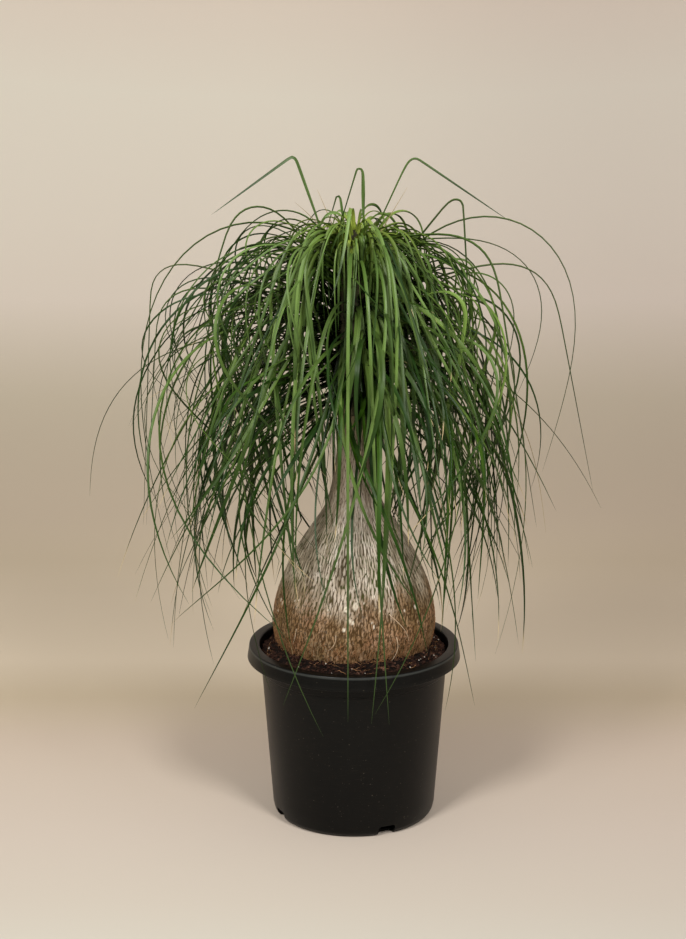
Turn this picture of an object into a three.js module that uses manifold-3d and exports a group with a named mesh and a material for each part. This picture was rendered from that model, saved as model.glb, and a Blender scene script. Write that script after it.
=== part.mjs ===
// A potted ponytail palm (Beaucarnea recurvata), about 0.93 m tall with its pot.
// Millimetres, +Z up, the origin at the centre of the pot's flat base, and the front towards -Y.
// The plant is a swollen grey caudex that narrows into a stem. Strap leaves spring from the stem's top
// on collars of leaf bases, arch over and hang in a curtain round the caudex.
import * as THREE from "three";
import { mergeVertices } from "three/addons/utils/BufferGeometryUtils.js";
import Module from "manifold-3d";

const wasm = await Module();
wasm.setup();

// Pot: black injection-moulded nursery container
const POT_HEIGHT = 250;
const RIM_RADIUS = 150;
const RIM_TOP_RADIUS = 147.5;
const MOUTH_RADIUS = 133;
const BASE_RADIUS = 114;
const WALL_SLOPE = 0.075;
const WALL_THICKNESS = 2.6;
const BASE_THICKNESS = 3.2;
const BASE_EDGE_RADIUS = 11;
const COLLAR_DROP = 20;
const COLLAR_THICKNESS = 2.4;
const SHOULDER_BELOW_RIM = 37;
const SHOULDER_STEP = 2;
const EDGE_BEVEL = 2;
const POT_SEGMENTS = 36;
const SLOTS = 4;
const SLOT_FIRST_ANGLE = 24;
const SLOT_WIDTH = 25;
const SLOT_HEIGHT = 15;
const SLOT_DEPTH = 17;

// Soil
const SOIL_EDGE_LEVEL = 236;
const SOIL_HEAP_LEVEL = 254;
const SOIL_SEGMENTS = 32;
const SOIL_LUMP = 2;
const FIT_GAP = 0.5;

// Caudex, neck and stem: [radius, height] from the root end up
const CAUDEX_BOTTOM = 176;
const CAUDEX = [
  [52, 180], [84, 196], [101, 222], [108.5, 252], [113.5, 291], [107.3, 328], [93.4, 364],
  [75, 400], [58.6, 424.5], [42.5, 448.5], [33.3, 472.5], [28.4, 497], [24.5, 522], [22.5, 560],
];
const CAUDEX_ROWS = 18;
const STEM_SHOULDER = 588;
const STEM_SHOULDER_RADIUS = 22.5;
const STEM_RADIUS = 17;
const STEM_TOP = 778;
const TRUNK_SEGMENTS = 44;
const BARK_DEPTH = 1.5;
const BARK_RIDGES = 16;
const BARK_LEAN = 0.021;
const BARK_FROM = 258;
const BARK_TO = 570;

// Collars of leaf bases, which stand on the stem's shoulder one above the other
const BASES_RADIUS = 27;
const BASES_TIP_RADIUS = 9;
const BASES_SIDES = 14;
const BASES_BORE = (STEM_RADIUS + FIT_GAP) / Math.cos(Math.PI / BASES_SIDES);
const BASES_GAP = 0.4;
const BASES_BEVEL = [3, 6];
const GROWING_TIP = 838;

// A leaf: a strap with a keel, wide from its root on and thin at its tip
const BLADE_WIDTH = 8.8;
const BLADE_KEEL = 1.5;
const BLADE_TAPER = 0.72;
const KEEL_TAPER = 0.45;
const ROOT_NARROWING = 0.35;
const ROOT_DEPTH = 7;
const BLADE_SECTIONS = 7;
const SECTIONS_PER_TURN = 20;
const PATH_STEP = 4;
const DRIFT_RUN = 500;
const LONGEST_LEAF = 900;
const SHORTEST_LEAF = 120;
const BEND_RANGE = [60, 600];

// Where leaves may hang: clear of the caudex, of the pot, of the floor and of each other
const CAUDEX_CLEARANCE = 11;
const HELD_OFF_FROM = 100;
const LONGEST_REST = 60;
const POT_CLEARANCE = 9;
const LOWEST_TIP = 104;
const LEAF_CLEARANCE = 6;
const CROWDED_ROOT = 14;

// The crown is a round head of leaves. Each leaf reaches its share of the crown's radius from its centre, and
// below the centre none hangs further out. The crown is fuller to the left and a little to the front.
const CROWN_CENTRE = 560;
const CROWN_RADIUS = 300;
const FRONT = -90;
const REACH = 0.875;
const REACH_RIGHT = -0.085;
const REACH_FRONT = 0.03;

// The curtain hangs shorter in front and at the back than at the sides, so that the caudex shows there. A few
// leaves hang untrimmed all the same.
const FRONT_TRIM = 150;
const BACK_TRIM = 260;
const FULL_TRIM_AT = 0.95;
const UNTRIMMED_SHARE = 0.12;
const LOWEST_END = 200;

// Where the hanging leaves fall apart and show what is behind them: degrees round the stem from the front,
// how far the leaves are pushed aside, and over what width.
const PARTINGS = [
  { at: -28, push: 15, width: 17 },
  { at: -152, push: 25, width: 17 },
];

// The rule that sets the leaves: each is the best of several seeded tries
const SEED = 20417;
const GOLDEN_ANGLE = 137.508;
const TIER_TURN = 47;
const TRIES = 30;
const PICKS = 14;
const PLAIN_LEAF_TRIANGLES = 50;
const NUDGES = [0, 2, -2, 4, -4, 6, -6];
const JITTER = 9;
const LAUNCH_SPREAD = 11;
const END_ANGLE = -87;
const END_SPREAD = 10;
const CURL = 36;
const DRIFT = 48;
const SWAY = 12;
const ROLL = 75;
const KINKED_SHARE = 0.33;
const KINKED_SHARP = [3, 9];
const SOFT_SHARP = [1.05, 2.9];
const WIDTHS = [0.82, 1.12];

// Each tier has leaves from low to high on its collar. launch: degrees above level where they leave the stem.
// shell: the share of the crown's radius that they fill. length: how long they are before they are trimmed.
const TIERS = [
  {
    name: "leaves_lower", color: "#2f5426", count: 47,
    collar: [588.6, 668], capped: false, parted: true,
    height: [606, 654], launch: [-21, 16], shell: [0.46, 0.85], length: [280, 560], standouts: [],
  },
  {
    name: "leaves_middle", color: "#3a6a2b", count: 98,
    collar: [668, 750], capped: false, parted: true,
    height: [682, 732], launch: [22, 64], shell: [0.6, 1.1], length: [430, 690],
    standouts: ["arc_left_out", "arc_left_low", "low_left", "low_right"],
  },
  {
    name: "leaves_upper", color: "#4d8133", count: 66,
    collar: [750, GROWING_TIP], capped: true, parted: false,
    height: [764, 804], launch: [44, 66], shell: [0.7, 1.08], length: [440, 690],
    standouts: [
      "peak_left", "peak_front", "peak_small", "peak_right", "bent_right", "arc_right", "arc_right_low",
      "arc_right_in", "flat_right", "bent_left", "arc_left", "arc_left_in", "flat_left", "rim_left_in",
      "rim_left_out", "rim_middle", "rim_right_in", "rim_right_out", "rim_right_over",
    ],
  },
];

// The long leaves that come over from the top towards the front and fall nearly straight, like a fan. The few
// in the gap are shorter, so that the neck shows between the others.
const FAN = {
  count: 12, side: [-70, 72], height: [800, 824], launch: [46, 76], bend: [80, 140], sharp: [1.1, 1.8],
  end: [-88, -78], length: [400, 620], drift: [-40, 40], roll: [-50, 50], width: [0.75, 1],
  gap: [-24, 12], gapLength: 0.6,
};

// The leaves that stand out of the crown, or hang over the pot's rim. side: degrees round the stem from the
// front, + to the right. bend: the length of leaf before it has turned 63% of the way from its launch to its
// end angle. sharp: how suddenly it turns. drift: degrees that it has gone round the stem 500 mm on.
const RIM_LEAF = { sharp: 1.7, end: -91, width: 0.5 };
const STANDOUTS = {
  peak_left: { side: -92, height: 762, launch: 71, bend: 182, sharp: 30, end: -36, length: 332, width: 0.75 },
  peak_front: { side: 90, height: 806, launch: 92, bend: 110, sharp: 40, end: 253, length: 230, width: 0.6 },
  peak_small: { side: -90, height: 815, launch: 84, bend: 90, sharp: 30, end: -74, length: 170, width: 0.42 },
  peak_right: { side: 90, height: 806, launch: 65, bend: 142, sharp: 18, end: -34, length: 300, width: 0.7 },
  bent_right: { side: 84, height: 760, launch: 52, bend: 166, sharp: 26, end: -86, length: 580, width: 1 },
  bent_left: { side: -82, height: 760, launch: 57, bend: 172, sharp: 6, end: -73, length: 545, width: 0.85 },
  arc_right: { side: 86, height: 760, launch: 49, bend: 284, sharp: 2.4, end: -106, length: 610, width: 0.7 },
  arc_right_low: { side: 94, height: 757, launch: 14, bend: 240, sharp: 6, end: -80, length: 555, width: 0.7 },
  arc_right_in: { side: 100, height: 815, launch: 4, bend: 272, sharp: 3.6, end: -114, length: 440, width: 0.5 },
  flat_right: { side: 76, height: 820, launch: 9, bend: 172, sharp: 4.8, end: -80, length: 560, width: 0.9 },
  arc_left: { side: -88, height: 784, launch: 50, bend: 247, sharp: 1.5, end: -104, length: 700, width: 0.7 },
  arc_left_in: { side: -98, height: 781, launch: 69, bend: 132, sharp: 2.4, end: -65, length: 420, width: 0.6 },
  flat_left: { side: -78, height: 781, launch: 13, bend: 157, sharp: 8, end: -60, length: 420, width: 0.7 },
  arc_left_out: { side: -96, height: 732, launch: 15, bend: 258, sharp: 11, end: -87, length: 620, width: 0.7 },
  arc_left_low: { side: -84, height: 722, launch: 13, bend: 242, sharp: 8, end: -86, length: 560, width: 0.8 },
  low_left: { side: -99, height: 700, launch: -5, bend: 360, sharp: 3.3, end: -92, length: 500, width: 0.6 },
  low_right: { side: 97, height: 696, launch: -12, bend: 330, sharp: 1.5, end: -78, length: 440, width: 0.6 },
  rim_left_in: { ...RIM_LEAF, side: -84, height: 790, launch: 46, bend: 122, tip: 166, drift: 29 },
  rim_left_out: { ...RIM_LEAF, side: 18, height: 772, launch: 48, bend: 121, tip: 205, drift: -26 },
  rim_middle: { ...RIM_LEAF, side: -3, height: 780, launch: 50, bend: 121, tip: 190 },
  rim_right_in: { ...RIM_LEAF, side: 20, height: 798, launch: 52, bend: 124, tip: 186, drift: -5 },
  rim_right_out: { ...RIM_LEAF, side: 6, height: 776, launch: 44, bend: 120, tip: 182, drift: 5 },
  rim_right_over: { ...RIM_LEAF, side: 86, height: 784, launch: 44, bend: 121, tip: 200, drift: -36 },
};

const radians = (degrees) => (degrees * Math.PI) / 180;
const mix = (a, b, t) => a + (b - a) * t;
const smooth = (a, b, x) => {
  const t = Math.min(1, Math.max(0, (x - a) / (b - a)));
  return t * t * (3 - 2 * t);
};

// A small seeded generator, one for each leaf, so that no leaf's draws move another's.
function draws(seed) {
  let state = Math.imul(seed + 1, 2654435761) >>> 0;
  return () => {
    state = (state + 0x6d2b79f5) >>> 0;
    let t = state;
    t = Math.imul(t ^ (t >>> 15), t | 1);
    t ^= t + Math.imul(t ^ (t >>> 7), t | 61);
    return ((t ^ (t >>> 14)) >>> 0) / 4294967296;
  };
}

// A solid from a closed geometry, turned the right way out.
function solidOf(geometry) {
  const plain = new THREE.BufferGeometry().setAttribute("position", geometry.getAttribute("position"));
  plain.setIndex(geometry.index);
  const merged = mergeVertices(plain, 1e-4);
  const faces = [];
  for (let i = 0; i < merged.index.count; i += 3) {
    const [a, b, c] = [0, 1, 2].map((k) => merged.index.getX(i + k));
    if (a !== b && b !== c && a !== c) faces.push(a, b, c);
  }
  const vertProperties = merged.attributes.position.array;
  const build = (order) =>
    new wasm.Manifold(new wasm.Mesh({ numProp: 3, vertProperties, triVerts: new Uint32Array(order) }));
  const made = build(faces);
  if (made.volume() > 0) return made;
  return build(faces.reverse());
}

function geometryOf(solid) {
  const mesh = solid.getMesh();
  const corners = new Float32Array(mesh.numVert * 3);
  for (let i = 0; i < mesh.numVert; i++)
    corners.set(mesh.vertProperties.subarray(i * mesh.numProp, i * mesh.numProp + 3), i * 3);
  return new THREE.BufferGeometry()
    .setAttribute("position", new THREE.BufferAttribute(corners, 3))
    .setIndex(new THREE.BufferAttribute(mesh.triVerts, 1));
}

// A body of revolution about Z from a profile of [radius, height] points.
function turned(profile, segments) {
  const points = profile.map(([radius, height]) => new THREE.Vector2(radius, height));
  return new THREE.LatheGeometry(points, segments).rotateX(Math.PI / 2);
}

function arcPoints(centreRadius, centreHeight, radius, from, to, steps) {
  return Array.from({ length: steps + 1 }, (_, i) => {
    const a = radians(mix(from, to, i / steps));
    return [centreRadius + radius * Math.cos(a), centreHeight + radius * Math.sin(a)];
  });
}

// Moves each corner of a turned geometry out from the axis and up, by what a formula gives there.
function displace(geometry, formula) {
  const corners = geometry.getAttribute("position");
  for (let i = 0; i < corners.count; i++) {
    const [x, y, z] = [corners.getX(i), corners.getY(i), corners.getZ(i)];
    const radius = Math.hypot(x, y);
    const { out = 0, up = 0 } = formula(Math.atan2(y, x), radius, z);
    const grown = radius > 0 ? (radius + out) / radius : 1;
    corners.setXYZ(i, x * grown, y * grown, z + up);
  }
  return geometry;
}

const shoulderLevel = POT_HEIGHT - SHOULDER_BELOW_RIM;
const wallRadius = (height) => BASE_RADIUS + WALL_SLOPE * height;

// The pot: a flat base with a rounded edge, a tapered wall with a shoulder, a rim that turns down as an open
// collar, and drain slots cut through the edge of the base.
function makePot() {
  const web = POT_HEIGHT - COLLAR_THICKNESS;
  const neck = MOUTH_RADIUS + WALL_THICKNESS;
  const outside = [
    [0, 0],
    ...arcPoints(BASE_RADIUS - BASE_EDGE_RADIUS, BASE_EDGE_RADIUS, BASE_EDGE_RADIUS, -90, 0, 4),
    [wallRadius(shoulderLevel), shoulderLevel],
    [wallRadius(shoulderLevel) + SHOULDER_STEP, shoulderLevel + SHOULDER_STEP],
    [neck, web - EDGE_BEVEL],
    [neck + EDGE_BEVEL, web],
    [RIM_TOP_RADIUS - COLLAR_THICKNESS, web],
    [RIM_RADIUS - COLLAR_THICKNESS, POT_HEIGHT - COLLAR_DROP],
    [RIM_RADIUS, POT_HEIGHT - COLLAR_DROP],
    [RIM_TOP_RADIUS, POT_HEIGHT - EDGE_BEVEL],
    [RIM_TOP_RADIUS - EDGE_BEVEL, POT_HEIGHT],
  ];
  const inside = [
    [MOUTH_RADIUS + EDGE_BEVEL, POT_HEIGHT],
    [MOUTH_RADIUS, POT_HEIGHT - EDGE_BEVEL],
    [wallRadius(shoulderLevel) - WALL_THICKNESS + SHOULDER_STEP, shoulderLevel + SHOULDER_STEP],
    [wallRadius(shoulderLevel) - WALL_THICKNESS, shoulderLevel],
    [wallRadius(BASE_EDGE_RADIUS) - WALL_THICKNESS, BASE_EDGE_RADIUS],
    [BASE_RADIUS - BASE_EDGE_RADIUS, BASE_THICKNESS],
    [0, BASE_THICKNESS],
  ];
  let pot = solidOf(turned([...outside, ...inside], POT_SEGMENTS));
  for (let i = 0; i < SLOTS; i++) {
    const slot = new THREE.BoxGeometry(SLOT_WIDTH, SLOT_DEPTH * 2, SLOT_HEIGHT * 2)
      .translate(0, -BASE_RADIUS, 0)
      .rotateZ(radians(SLOT_FIRST_ANGLE + (360 / SLOTS) * i));
    pot = pot.subtract(solidOf(slot));
  }
  return pot;
}

// The caudex's outline drawn as one smooth curve.
const caudexPoints = CAUDEX.map(([radius, height]) => new THREE.Vector2(radius, height));
const caudexOutline = new THREE.SplineCurve(caudexPoints)
  .getSpacedPoints(CAUDEX_ROWS)
  .map((p) => [p.x, p.y]);

// The caudex's radius at a height, by straight lines between its outline's points.
function trunkRadius(height) {
  const above = caudexOutline.findIndex(([, level]) => level >= height);
  if (above < 0) return caudexOutline[caudexOutline.length - 1][0];
  if (above === 0) return caudexOutline[0][0];
  const [r0, h0] = caudexOutline[above - 1];
  const [r1, h1] = caudexOutline[above];
  return mix(r0, r1, (height - h0) / (h1 - h0));
}

// Bark: a slightly lobed swelling with long upright plates between crossing fissures, above the soil only.
function barkRelief(angle, radius, height) {
  if (height < BARK_FROM || height > BARK_TO) return {};
  const lean = Math.sin(height * 0.045) * 0.9 + height * BARK_LEAN;
  const plates =
    0.6 * Math.cos(BARK_RIDGES * angle + lean) + 0.4 * Math.cos((BARK_RIDGES - 3) * angle - lean * 1.7);
  const lobes = 1.6 * Math.cos(3 * angle + 0.6) + 1.1 * Math.cos(5 * angle - height * 0.012);
  const shown = smooth(BARK_FROM, BARK_FROM + 30, height) * (1 - smooth(520, BARK_TO, height));
  return { out: shown * (BARK_DEPTH * plates + lobes * (1 - smooth(400, 500, height))) };
}

// Caudex, neck and stem, which grew as one. The stem goes on inside the collars of leaf bases.
function makeTrunk() {
  const profile = [
    [0, CAUDEX_BOTTOM],
    ...caudexOutline,
    [STEM_SHOULDER_RADIUS, STEM_SHOULDER],
    [STEM_RADIUS, STEM_SHOULDER],
    [STEM_RADIUS, STEM_TOP],
    [0, STEM_TOP],
  ];
  return solidOf(displace(turned(profile, TRUNK_SEGMENTS), barkRelief));
}

// The soil fills the pot and heaps up a little round the caudex, which stands in a plain hole in it.
function makeSoil() {
  const round = (radius) => (radius + FIT_GAP) / Math.cos(Math.PI / SOIL_SEGMENTS);
  const within = (radius) => radius * Math.cos(Math.PI / POT_SEGMENTS) - FIT_GAP;
  const inner = (height) => within(wallRadius(height) - WALL_THICKNESS);
  const edge = within(wallRadius(shoulderLevel) - WALL_THICKNESS + SHOULDER_STEP);
  const brim = round(trunkRadius(SOIL_HEAP_LEVEL));
  const slope = (out, up) => [mix(edge, brim, out), mix(SOIL_EDGE_LEVEL, SOIL_HEAP_LEVEL, up)];
  const hole = caudexOutline
    .filter(([, height]) => height < SOIL_HEAP_LEVEL - 6)
    .map(([radius, height]) => [round(radius), height - FIT_GAP / 2])
    .reverse();
  const profile = [
    [0, BASE_THICKNESS + FIT_GAP],
    [BASE_RADIUS - BASE_EDGE_RADIUS - FIT_GAP, BASE_THICKNESS + FIT_GAP],
    [inner(BASE_EDGE_RADIUS) - FIT_GAP, BASE_EDGE_RADIUS + 2],
    [inner(shoulderLevel), shoulderLevel],
    ...[[0, 0], [0.3, 0.25], [0.6, 0.6], [0.85, 0.9], [1, 1]].map(([out, up]) => slope(out, up)),
    ...hole,
    [0, CAUDEX_BOTTOM - FIT_GAP],
  ];
  const lumps = (angle, radius, height) => {
    const onSlope = height > SOIL_EDGE_LEVEL + 1 && height < SOIL_HEAP_LEVEL - 1 && radius > brim + 1;
    return onSlope
      ? { up: SOIL_LUMP * (0.6 * Math.sin(angle * 13 + height) + 0.4 * Math.sin(angle * 7 - height * 2.1)) }
      : {};
  };
  return solidOf(displace(turned(profile, SOIL_SEGMENTS), lumps));
}

// The collars are straight up to the stem's top, and from there round off to the growing tip.
function basesRadius(height) {
  const past = Math.max(0, (height - STEM_TOP) / (GROWING_TIP - STEM_TOP));
  return mix(BASES_RADIUS, BASES_TIP_RADIUS, Math.pow(past, 1.6));
}

// A ring of leaf bases round the stem, or for the top tier a blunt growing tip that caps it.
function makeBases({ collar: [low, high], capped }) {
  const [bottom, top] = [low + BASES_GAP, high - BASES_GAP];
  const [bevelIn, bevelUp] = BASES_BEVEL;
  const ring = [
    [BASES_BORE, bottom],
    [BASES_RADIUS - bevelIn, bottom],
    [BASES_RADIUS, bottom + bevelUp],
  ];
  const open = [[BASES_RADIUS, top - bevelUp], [BASES_RADIUS - bevelIn, top], [BASES_BORE, top]];
  const dome = Array.from({ length: 6 }, (_, i) => mix(STEM_TOP, top, i / 5)).map((h) => [basesRadius(h), h]);
  const cap = [[0, top], [0, STEM_TOP + FIT_GAP], [BASES_BORE, STEM_TOP + FIT_GAP]];
  return solidOf(turned([...ring, ...(capped ? [...dome, ...cap] : open), ring[0]], BASES_SIDES));
}

// A leaf's line: it leaves the stem at its launch angle and turns towards its end angle, soon or late and
// smoothly or in a kink, while it drifts a little round the stem. It is held off the caudex, and ends at its
// length, at the height of its tip, above the soil, or above the floor where it hangs outside the rim.
function leafLine(leaf, bend) {
  const { length = LONGEST_LEAF, tip = 0, drift = 0, sway = 0 } = leaf;
  let radius = Math.max(2, basesRadius(leaf.height) - ROOT_DEPTH);
  let height = leaf.height;
  let resting = 0;
  const points = [];
  for (let run = 0; run <= length; run += PATH_STEP) {
    const angle = radians(mix(leaf.launch, leaf.end, 1 - Math.exp(-Math.pow(run / bend, leaf.sharp))));
    const part = run / DRIFT_RUN;
    const side = radians(leaf.side + FRONT + drift * part * part + sway * Math.sin(part * Math.PI));
    points.push({ x: radius * Math.cos(side), y: radius * Math.sin(side), radius, height, side, angle });
    radius += Math.cos(angle) * PATH_STEP;
    height += Math.sin(angle) * PATH_STEP;
    const held = trunkRadius(height) + CAUDEX_CLEARANCE;
    if (run > HELD_OFF_FROM && height < STEM_SHOULDER && radius < held) {
      radius = held;
      resting += PATH_STEP;
      if (resting > LONGEST_REST) break;
    }
    const overPot = radius < RIM_RADIUS + POT_CLEARANCE;
    if (height < Math.max(tip, overPot ? POT_HEIGHT + POT_CLEARANCE : LOWEST_TIP)) break;
  }
  return points;
}

// The bend with which a leaf just fills its share of the crown, found by halving.
function bendToFill(leaf) {
  let [low, high] = BEND_RANGE;
  for (let i = 0; i < 12; i++) {
    const bend = (low + high) / 2;
    const reach = Math.max(
      ...leafLine(leaf, bend).map((p) => Math.hypot(p.radius, Math.max(0, p.height - CROWN_CENTRE))),
    );
    if (reach > leaf.reach * CROWN_RADIUS) high = bend;
    else low = bend;
  }
  return low;
}

function parted(side) {
  return PARTINGS.reduce((moved, { at, push, width }) => {
    const off = ((((moved - at + 180) % 360) + 360) % 360) - 180;
    return moved + Math.sign(off) * push * Math.exp(-((off / width) ** 2));
  }, side);
}

// One try at a leaf. Its place on the stem follows the golden angle, and the draws vary how it hangs.
function drawLeaf(tier, index, attempt, tierNumber) {
  const draw = draws(SEED + tierNumber * 1000003 + index * 101 + attempt * 7919);
  const spread = (most) => (2 * draw() - 1) * most;
  const rank = (index + draw()) / tier.count;
  const even = index * GOLDEN_ANGLE + tierNumber * TIER_TURN + spread(JITTER);
  const side = tier.parted ? parted(even) : even;
  const [right, front] = [Math.sin(radians(side)), Math.cos(radians(side))];
  const share = mix(...tier.shell, Math.sqrt(draw()));
  const reach = share * (REACH + REACH_RIGHT * right + REACH_FRONT * front);
  const trim = (front > 0 ? FRONT_TRIM : BACK_TRIM) * smooth(0, FULL_TRIM_AT, Math.abs(front));
  return {
    side,
    reach,
    height: mix(...tier.height, rank),
    launch: mix(...tier.launch, rank) + spread(LAUNCH_SPREAD),
    sharp: mix(...(draw() < KINKED_SHARE ? KINKED_SHARP : SOFT_SHARP), draw()),
    end: END_ANGLE - CURL * Math.min(reach, 1.1) ** 3 + spread(END_SPREAD),
    length: mix(...tier.length, draw()) - (draw() < UNTRIMMED_SHARE ? 0 : trim),
    tip: LOWEST_END,
    drift: spread(DRIFT),
    sway: spread(SWAY),
    roll: spread(ROLL),
    width: mix(...WIDTHS, draw()),
  };
}

// One try at a leaf of the fan.
function drawFanLeaf(index, attempt) {
  const draw = draws(SEED + TIERS.length * 1000003 + index * 101 + attempt * 7919);
  const side = mix(...FAN.side, (index + draw()) / FAN.count);
  const inGap = side > FAN.gap[0] && side < FAN.gap[1];
  const drawn = {};
  for (const key of ["height", "launch", "bend", "sharp", "end", "length", "drift", "roll", "width"])
    drawn[key] = mix(...FAN[key], draw());
  return { ...drawn, side, length: drawn.length * (inGap ? FAN.gapLength : 1) };
}

// Counts how often a leaf's line comes too near the lines already placed, on a grid of their points.
const grid = new Map();
const cellOf = (p) => [p.x, p.y, p.height].map((v) => Math.floor(v / LEAF_CLEARANCE));
function crowding(points) {
  let near = 0;
  for (let k = CROWDED_ROOT; k < points.length; k += 2) {
    const p = points[k];
    const [i, j, h] = cellOf(p);
    for (let a = -1; a < 2; a++)
      for (let b = -1; b < 2; b++)
        for (let c = -1; c < 2; c++)
          for (const q of grid.get(`${i + a},${j + b},${h + c}`) || [])
            if (Math.hypot(p.x - q.x, p.y - q.y, p.height - q.height) < LEAF_CLEARANCE) near++;
  }
  return near;
}
function remember(points) {
  for (let k = CROWDED_ROOT; k < points.length; k += 2) {
    const key = cellOf(points[k]).join(",");
    if (!grid.has(key)) grid.set(key, []);
    grid.get(key).push(points[k]);
  }
}

// Where along a leaf's line its sections stand: evenly, and closer together where it turns.
function sectionPlaces(points) {
  const slopes = points.slice(1).map((p, i) => {
    const before = points[i];
    return Math.atan2(p.height - before.height, p.radius - before.radius);
  });
  const load = [0];
  for (let i = 1; i < slopes.length; i++)
    load.push(load[i - 1] + 1 + Math.abs(slopes[i] - slopes[i - 1]) * SECTIONS_PER_TURN);
  const total = load[load.length - 1];
  const atShare = (share) => load.findIndex((v) => v >= total * share);
  return Array.from({ length: BLADE_SECTIONS }, (_, n) => atShare(n / BLADE_SECTIONS));
}

// A leaf as a solid of three sides: a flat face outwards and a keel beneath, rolling a little about its line
// and narrowing to a point.
function bladeSolid(points, { width, roll = 0 }) {
  const corners = [];
  const faces = [0, 2, 1];
  const places = sectionPlaces(points);
  places.forEach((i, n) => {
    const [p, next] = [points[i], points[i + 1]];
    const along = i / (points.length - 1);
    const tangent = new THREE.Vector3(next.x - p.x, next.y - p.y, next.height - p.height).normalize();
    const outward = new THREE.Vector3(Math.cos(p.side), Math.sin(p.side), 0)
      .multiplyScalar(-Math.sin(p.angle))
      .setZ(Math.cos(p.angle));
    const across = new THREE.Vector3()
      .crossVectors(tangent, outward)
      .normalize()
      .applyAxisAngle(tangent, radians(roll * smooth(0.05, 0.6, along)));
    const normal = new THREE.Vector3().crossVectors(across, tangent);
    const taper = (1 - BLADE_TAPER * Math.pow(along, 1.7)) * (1 - ROOT_NARROWING * Math.exp(-along * 9));
    const half = (BLADE_WIDTH / 2) * width * taper;
    const keel = BLADE_KEEL * (1 - KEEL_TAPER * along);
    const middle = new THREE.Vector3(p.x, p.y, p.height);
    corners.push(
      ...middle.clone().addScaledVector(across, half),
      ...middle.clone().addScaledVector(across, -half),
      ...middle.clone().addScaledVector(normal, -keel),
    );
    for (let k = 0; n > 0 && k < 3; k++) {
      const [a, b] = [n * 3 - 3 + k, n * 3 - 3 + ((k + 1) % 3)];
      faces.push(a, b, b + 3, a, b + 3, a + 3);
    }
  });
  const end = points[points.length - 1];
  corners.push(end.x, end.y, end.height);
  const last = (places.length - 1) * 3;
  for (let k = 0; k < 3; k++) faces.push(last + k, last + ((k + 1) % 3), last + 3);
  const geometry = new THREE.BufferGeometry()
    .setAttribute("position", new THREE.BufferAttribute(new Float32Array(corners), 3))
    .setIndex(faces);
  return solidOf(geometry);
}

// Sets a tier's leaves and fuses them with the collar that they grow from. Of a leaf's tries, the one with
// the most room wins that is clear of the other pieces and crosses its own tier the least.
function makeTier(tier, tierNumber, collar, others) {
  let head = collar;
  const place = (tries) => {
    const ranked = tries
      .map((leaf) => ({ leaf, points: leafLine(leaf, leaf.bend ?? bendToFill(leaf)) }))
      .filter(({ points }) => points.length > SHORTEST_LEAF / PATH_STEP)
      .map((choice) => ({ ...choice, near: crowding(choice.points) }))
      .sort((a, b) => a.near - b.near);
    let best;
    for (const { leaf, points } of ranked.slice(0, PICKS)) {
      const blade = bladeSolid(points, leaf);
      if (others.some((other) => other.intersect(blade).volume() > 0)) continue;
      const grown = head.add(blade);
      if (best && best.grown.numTri() <= grown.numTri()) continue;
      best = { grown, points };
      if (grown.numTri() < head.numTri() + PLAIN_LEAF_TRIANGLES) break;
    }
    if (!best) return;
    head = best.grown;
    remember(best.points);
  };
  for (const leaf of tier.standouts.map((name) => STANDOUTS[name]))
    place(NUDGES.map((nudge) => ({ ...leaf, side: leaf.side + nudge })));
  for (let i = 0; i < tier.count; i++)
    place(Array.from({ length: TRIES }, (_, attempt) => drawLeaf(tier, i, attempt, tierNumber)));
  for (let i = 0; tier.capped && i < FAN.count; i++)
    place(Array.from({ length: TRIES }, (_, attempt) => drawFanLeaf(i, attempt)));
  return head;
}

const plant = new THREE.Group();
plant.name = "potted_ponytail_palm";

function addPiece(name, solid, color, roughness) {
  const material = new THREE.MeshStandardMaterial({ color, roughness, metalness: 0 });
  const mesh = new THREE.Mesh(geometryOf(solid), material);
  mesh.name = name;
  plant.add(mesh);
}

const pot = makePot();
const soil = makeSoil();
const trunk = makeTrunk();
addPiece("pot", pot, "#1b1c1c", 0.5);
addPiece("soil", soil, "#2c1a12", 0.95);
addPiece("trunk", trunk, "#8c7f73", 0.85);

// The top tier is set first, because its leaves hang furthest out over the others.
const collars = TIERS.map(makeBases);
const placed = [pot, soil, trunk];
for (let number = TIERS.length - 1; number >= 0; number--) {
  const otherCollars = collars.filter((_, i) => i < number);
  const head = makeTier(TIERS[number], number, collars[number], [...placed, ...otherCollars]);
  addPiece(TIERS[number].name, head, TIERS[number].color, 0.5);
  placed.push(head);
}

export default plant;
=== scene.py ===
# Looks of the potted ponytail palm: nursery pot, soil, barked caudex and its head of strap leaves.
# Blender's units are metres. The plant's own rules count in millimetres, as the part's source does.
import math

import bmesh
import bpy
import numpy as np
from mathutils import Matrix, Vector


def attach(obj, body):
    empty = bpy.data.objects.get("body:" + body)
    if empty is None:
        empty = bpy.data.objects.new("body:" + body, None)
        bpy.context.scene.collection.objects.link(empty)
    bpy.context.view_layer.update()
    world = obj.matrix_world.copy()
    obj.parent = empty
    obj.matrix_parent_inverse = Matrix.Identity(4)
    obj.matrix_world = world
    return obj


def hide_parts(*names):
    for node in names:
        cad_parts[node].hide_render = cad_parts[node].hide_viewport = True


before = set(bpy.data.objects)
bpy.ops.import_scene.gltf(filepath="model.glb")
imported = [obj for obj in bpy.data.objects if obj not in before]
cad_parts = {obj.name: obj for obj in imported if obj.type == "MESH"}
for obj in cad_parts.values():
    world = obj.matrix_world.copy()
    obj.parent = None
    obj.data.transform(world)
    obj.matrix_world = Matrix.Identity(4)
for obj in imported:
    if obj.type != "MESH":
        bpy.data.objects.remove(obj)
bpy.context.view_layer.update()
mm = 0.001
print("frame loaded")


def mix(a, b, t):
    return a + (b - a) * t


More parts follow.
